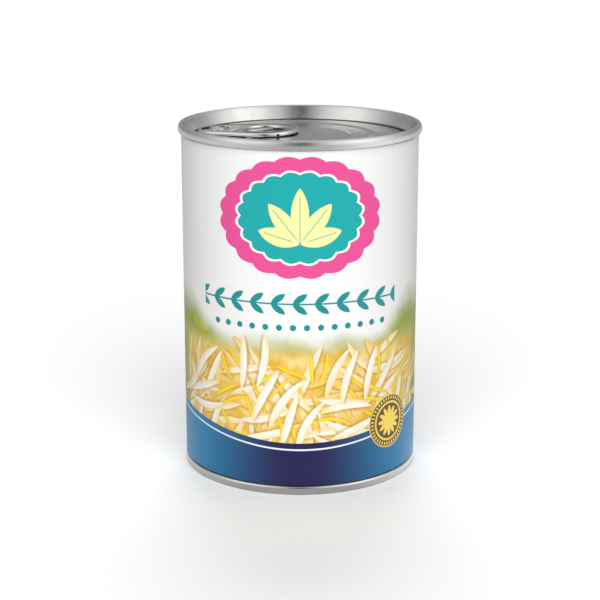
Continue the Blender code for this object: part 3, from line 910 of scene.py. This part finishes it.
def makeLabelPrint():
    # every printed colour of the label, and the masks of its foil and its raised seal
    tree, given, out = newGroup("label print", {"Vector": None}, ["Color", "Foil", "Relief"])
    coords = useGroup(tree, roundCoords, Vector=given["Vector"])
    arc, height = coords["Arc"], coords["Height"]
    side = size(tree, arc)
    inMm = joinVector(tree, arc, height)

    # ground of the lower half: pale at the top, green, then brown, and gold under the heap of blades
    wave = times(tree, minus(tree, noise(tree, inMm, 0.06, 3.0), 0.5), 10.0)
    level = plus(tree, height, wave)
    patch = noise(tree, inMm, 0.11, 4.0)
    ground = blend(tree, ramp(tree, level, 20.0, 32.0), "earth", "green")
    light = times(tree, ramp(tree, patch, 0.5, 0.3), ramp(tree, level, 26.0, 34.0))
    ground = blend(tree, light, ground, "lightGreen")
    heap = times(tree, ramp(tree, side, 50.0, 42.0), ramp(tree, height, 50.0, 42.0))
    gold = blend(tree, ramp(tree, patch, 0.35, 0.65), "gold", "paleGold")
    ground = blend(tree, heap, ground, gold)
    fade = printed["fade"]
    fadeFrom = ramp(tree, side, *fade["arc"], *fade["from"])
    fadeTo = ramp(tree, side, *fade["arc"], *fade["to"])
    colour = blend(tree, ramp(tree, level, fadeFrom, fadeTo), "paper", ground)

    # strewn blades
    for number, (cell, turn, width, yellow, deep, reach) in enumerate(bladeLayers):
        colour = useGroup(tree, bladeLayer, Under=colour, Arc=arc, Height=height, Cell=cell, Turn=turn,
                          Seed=number + 1.0, Width=width, Yellow=yellow, Deep=deep, Reach=reach)["Color"]

    # scalloped medallion
    m = printed["medallion"]
    mx = over(tree, arc, m["halfWidth"])
    my = over(tree, minus(tree, height, m["height"]), m["halfHeight"])
    far, angle = polar(tree, mx, my)
    scallop = size(tree, calc(tree, "SINE", times(tree, angle, m["scallops"] / 2)))
    far = minus(tree, far, times(tree, scallop, m["scallopDepth"]))
    for start, full, name in m["rings"]:
        colour = blend(tree, ramp(tree, far, start, full), colour, name)
    ly = minus(tree, height, m["height"] - m["leafDrop"])
    for turn, length in m["leaves"]:
        leaf = useGroup(tree, leafShape, X=arc, Y=ly, Angle=turn, Length=length, Width=m["leafWidth"])
        colour = blend(tree, leaf["Leaf"], colour, "leaf")
        colour = blend(tree, leaf["Rib"], colour, "teal")

    # row of leaves under the medallion
    g = printed["garland"]
    gy = minus(tree, height, g["height"])
    gx = calc(tree, "FLOORED_MODULO", plus(tree, arc, g["pitch"] / 2), g["pitch"])
    gx = minus(tree, gx, g["pitch"] / 2)
    within = ramp(tree, side, g["halfWidth"], g["halfWidth"] - 0.1)
    up = useGroup(tree, leafShape, X=plus(tree, gx, g["leafStart"]), Y=size(tree, gy),
                  Angle=g["leafTurn"], Length=g["leafLength"], Width=g["leafWidth"])
    vine = ramp(tree, size(tree, gy), g["vine"], 0.2)
    mark = times(tree, most(tree, up["Leaf"], vine), within)
    d = printed["dots"]
    dx = minus(tree, calc(tree, "FLOORED_MODULO", arc, d["pitch"]), d["pitch"] / 2)
    far = lengthOf(tree, dx, minus(tree, height, d["height"]))
    dot = times(tree, ramp(tree, far, d["radius"] + 0.05, d["radius"] - 0.05),
                calc(tree, "LESS_THAN", side, d["halfWidth"]))
    colour = blend(tree, most(tree, mark, dot), colour, "deepTeal")

    # dark band at the foot, with a wave along its top and a white stripe
    b = printed["band"]
    wave = calc(tree, "COSINE", times(tree, arc, 2 * mm / labelHigh.x))
    top = minus(tree, b["top"] + b["wave"], times(tree, wave, b["wave"]))
    below = minus(tree, top, height)
    tone = blend(tree, ramp(tree, side, 3.0, 50.0), "bandMiddle", "bandSide")
    stripe = between(tree, below, b["stripe"] - b["stripeHalf"], b["stripe"] + b["stripeHalf"])
    tone = blend(tree, stripe, tone, "stripe")
    colour = blend(tree, ramp(tree, below, -0.05, 0.05), colour, tone)

    # plain ruled panel on each side of the lap at the back
    p = printed["panel"]
    panel = times(tree, ramp(tree, side, p["arc"] - 0.05, p["arc"] + 0.05),
                  between(tree, height, p["low"], p["high"]))
    colour = blend(tree, panel, colour, "panel")
    inner = times(tree, ramp(tree, side, p["arc"] + 0.35, p["arc"] + 0.45),
                  between(tree, height, p["low"] + 0.4, p["high"] - 0.4))
    rim = minus(tree, 1.0, inner)
    colour = blend(tree, times(tree, rim, panel), colour, "teal")

    # foil seal
    s = printed["seal"]
    sx = minus(tree, arc, s["arc"])
    sy = minus(tree, height, s["height"])
    far, angle = polar(tree, sx, sy)
    far = over(tree, far, s["radius"])
    disc = ramp(tree, far, 1.0, 0.99)
    petal = size(tree, calc(tree, "COSINE", times(tree, angle, s["petals"] / 2)))
    rosette = ramp(tree, minus(tree, far, times(tree, petal, s["petalDepth"])), 0.32, 0.3)
    ring = between(tree, far, *s["ring"], 0.01)
    beads = ramp(tree, calc(tree, "SINE", times(tree, angle, s["beads"])), 0.0, 0.3)
    beads = times(tree, between(tree, far, *s["beadRing"], 0.01), beads)
    rimRing = ramp(tree, far, 0.95, 0.96)
    raised = most(tree, rosette, ring, most(tree, beads, rimRing))
    sealColour = blend(tree, raised, "sealGround", "foil")
    colour = blend(tree, disc, colour, sealColour)
    feed(tree, out["Color"], colour)
    feed(tree, out["Foil"], times(tree, disc, raised))
    feed(tree, out["Relief"], times(tree, disc, plus(tree, 0.5, times(tree, raised, 0.5))))
    return tree


def makeLabelPiece():
    # the outer end of the wrap lies on its inner end at the back, as one lapped ring
    bm = bmesh.new()
    outer = label["inner"] + label["thickness"]
    lapAngle = label["lapHalfWidth"] / outer
    back = math.pi / 2
    count = label["segments"]
    single = [back + lapAngle + (math.tau - 2 * lapAngle) * i / count for i in range(count + 1)]
    lapped = [back - lapAngle + 2 * lapAngle * i / label["lapSteps"] for i in range(label["lapSteps"] + 1)]
    places = [(outer, angle) for angle in single]
    places += [(outer + label["thickness"], angle) for angle in lapped]
    tall = labelHigh.z - labelLow.z
    heights = [labelLow.z + tall * row / label["rows"] for row in range(label["rows"] + 1)]
    columns = []
    for radius, angle in places:
        cosine, sine, inner = math.cos(angle), math.sin(angle), label["inner"]
        column = [bm.verts.new((radius * cosine, radius * sine, z)) for z in heights]
        column += [bm.verts.new((inner * cosine, inner * sine, z)) for z in reversed(heights)]
        columns.append(column)
    for here, there in zip(columns, columns[1:] + columns[:1]):
        for k in range(len(here)):
            m = (k + 1) % len(here)
            bm.faces.new((here[k], here[m], there[m], there[k]))
    bmesh.ops.remove_doubles(bm, verts=bm.verts, dist=1e-6)
    piece = newPiece("label_wrap", bm)
    piece.data.set_sharp_from_angle(angle=math.radians(40))
    return piece


def paperFinish():
    material, tree, shader, where = newMaterial("printed paper")
    art = useGroup(tree, labelPrint, Vector=where)
    inMm = inMillimetres(tree, where)
    fibre = noise(tree, inMm, 4.0, 4.0, 0.65)
    cloud = noise(tree, inMm, 0.05, 2.0)
    colour = blend(tree, times(tree, fibre, 0.05), art["Color"], (0.5, 0.5, 0.48, 1))
    feed(tree, shader.inputs["Base Color"], colour)
    feed(tree, shader.inputs["Metallic"], times(tree, art["Foil"], 0.9))
    rough = plus(tree, 0.36, times(tree, minus(tree, cloud, 0.5), 0.12))
    rough = plus(tree, rough, times(tree, minus(tree, fibre, 0.5), 0.08))
    feed(tree, shader.inputs["Roughness"], minus(tree, rough, times(tree, art["Foil"], 0.1)))
    shader.inputs["Specular IOR Level"].default_value = 0.3
    shader.inputs["Coat Weight"].default_value = 0.05
    shader.inputs["Coat Roughness"].default_value = 0.22
    height = plus(tree, times(tree, fibre, 0.25), times(tree, art["Relief"], 1.0))
    addBump(tree, shader, height, 0.3, 0.04 * mm)
    return material


leafShape = makeLeafShape()
bladeLayer = makeBladeLayer()
labelPrint = makeLabelPrint()
labelPiece = makeLabelPiece()
labelPiece.data.materials.append(paperFinish())
place(labelPiece, "can", "label_paper", "paper_label")
print("label made")


# contents, sealed inside

def contentsFinish():
    material, tree, shader, where = newMaterial("sprouts in water")
    inMm = inMillimetres(tree, where)
    strands = noise(tree, inMm, 0.4, 5.0)
    colour = blend(tree, ramp(tree, strands, 0.4, 0.6), "strandShade", "strand")
    feed(tree, shader.inputs["Base Color"], colour)
    feed(tree, shader.inputs["Roughness"], ramp(tree, strands, 0.3, 0.7, 0.2, 0.5))
    addBump(tree, shader, strands, 0.6, 0.6 * mm)
    return material


contents = frame["nodes"]["contents"]
contents.data.materials.clear()
contents.data.materials.append(contentsFinish())


# floor, light and camera

studio = {
    "cameraDistance": 0.5, "cameraHeight": 0.1851, "pitch": 14.9, "lens": 97.1, "floorSize": 40.0,
    "floorSeen": 0.73, "floorBounce": 0.22, "floorMirrored": 0.47,
    "floorSides": [(80, 0.4), (-80, 0.15)],    # painted reflections: azimuth and strength of paler parts, seen only in reflections
    "sky": 0.32, "skyTop": 0.1, "skyOnMatt": 0.5, "backdrop": 1.0,
    # azimuth, elevation, strength and tightness of each glow
    "glows": [(-56, 24, 1.05, 5.5), (62, 24, 1.32, 5.0), (150, 58, 0.6, 16.0), (-150, 58, 0.35, 16.0)],
    "glowOnMatt": 0.2, "gap": (0.0, 0.34), "gapHeight": (0.65, 0.9), "gapDepth": 0.95,
    # azimuth, elevation, strength and spread of each light
    "lights": {"front light": (2, 42, 3.65, 60), "back light": (180, 48, 1.5, 30)},
}


def towards(azimuth, elevation):
    # azimuth 0 is the camera's side, positive to the right
    a, e = math.radians(azimuth), math.radians(elevation)
    return Vector((math.sin(a) * math.cos(e), -math.cos(a) * math.cos(e), math.sin(e)))


def makeFloor():
    # the floor looks pale, but throws less light back on to the can
    bm = bmesh.new()
    bmesh.ops.create_grid(bm, x_segments=1, y_segments=1, size=studio["floorSize"] / 2)
    floor = newPiece("floor", bm, smooth=False)
    material, tree, shader, where = newMaterial("pale floor")
    rays = tree.nodes.new("ShaderNodeLightPath").outputs
    shades = [studio[key] for key in ("floorBounce", "floorMirrored", "floorSeen")]
    bounce, mirrored, pale = [(shade, shade, shade, 1) for shade in shades]
    x, y = splitVector(tree, where)[:2]
    angle = calc(tree, "ARCTAN2", x, times(tree, y, -1.0))
    # painted reflections: paler patches of floor on each side that only glossy rays see
    for azimuth, strength in studio["floorSides"]:
        away = size(tree, minus(tree, angle, math.radians(azimuth)))
        side = times(tree, ramp(tree, away, math.radians(62), 0.1), strength)
        mirrored = blend(tree, side, mirrored, (1, 1, 1, 1), mode="ADD")
    shade = blend(tree, rays["Is Glossy Ray"], bounce, mirrored)
    feed(tree, shader.inputs["Base Color"], blend(tree, rays["Is Camera Ray"], shade, pale))
    shader.inputs["Roughness"].default_value = 1.0
    shader.inputs["Specular IOR Level"].default_value = 0.0
    floor.data.materials.append(material)


def makeLights():
    # soft light for the matt surfaces only: the metal mirrors the world's glows
    for name, (azimuth, elevation, strength, spread) in studio["lights"].items():
        light = bpy.data.lights.new(name, "SUN")
        light.energy = strength
        light.angle = math.radians(spread)
        lamp = bpy.data.objects.new(name, light)
        bpy.context.scene.collection.objects.link(lamp)
        lamp.rotation_euler = (-towards(azimuth, elevation)).to_track_quat("-Z", "Y").to_euler()
        lamp.visible_glossy = False


def makeWorld():
    # even sky with a soft glow on each side of the camera, a darker gap between them and two glows behind;
    # matt surfaces get less of the glow, and the camera sees a plain pale backdrop
    world = bpy.data.worlds.new("studio")
    bpy.context.scene.world = world
    world.use_nodes = True
    tree = world.node_tree
    background = tree.nodes["Background"]
    way = tree.nodes.new("ShaderNodeTexCoord").outputs["Generated"]
    x, y, z = splitVector(tree, way)
    rays = tree.nodes.new("ShaderNodeLightPath").outputs
    share = ramp(tree, rays["Is Glossy Ray"], 0.0, 1.0, studio["glowOnMatt"], 1.0)
    even = plus(tree, studio["sky"], times(tree, z, studio["skyTop"]))
    glow = times(tree, even, ramp(tree, rays["Is Glossy Ray"], 0.0, 1.0, studio["skyOnMatt"], 1.0))
    for azimuth, elevation, strength, tightness in studio["glows"]:
        near = tree.nodes.new("ShaderNodeVectorMath")
        near.operation = "DOT_PRODUCT"
        feed(tree, near.inputs[0], way)
        near.inputs[1].default_value = towards(azimuth, elevation)
        fall = times(tree, minus(tree, near.outputs["Value"], 1.0), tightness)
        lobe = times(tree, calc(tree, "EXPONENT", fall), strength)
        glow = plus(tree, glow, times(tree, lobe, share))
    middle = times(tree, ramp(tree, size(tree, x), *reversed(studio["gap"])),
                  times(tree, ramp(tree, y, 0.0, -0.2), ramp(tree, z, *reversed(studio["gapHeight"]))))
    glow = times(tree, glow, minus(tree, 1.0, times(tree, middle, studio["gapDepth"])))
    glow = ramp(tree, rays["Is Camera Ray"], 0.0, 1.0, glow, studio["backdrop"])
    feed(tree, background.inputs["Strength"], glow)
    background.inputs["Color"].default_value = (1, 1, 1, 1)


def makeCamera():
    camera = bpy.data.objects.new("camera", bpy.data.cameras.new("camera"))
    bpy.context.scene.collection.objects.link(camera)
    camera.data.lens = studio["lens"]
    camera.data.clip_start = 0.01
    camera.location = (0, -studio["cameraDistance"], studio["cameraHeight"])
    camera.rotation_euler = (math.radians(90 - studio["pitch"]), 0, 0)
    bpy.context.scene.camera = camera


makeFloor()
makeLights()
makeWorld()
makeCamera()
bpy.context.scene.view_settings.view_transform = "Standard"
print("studio made")
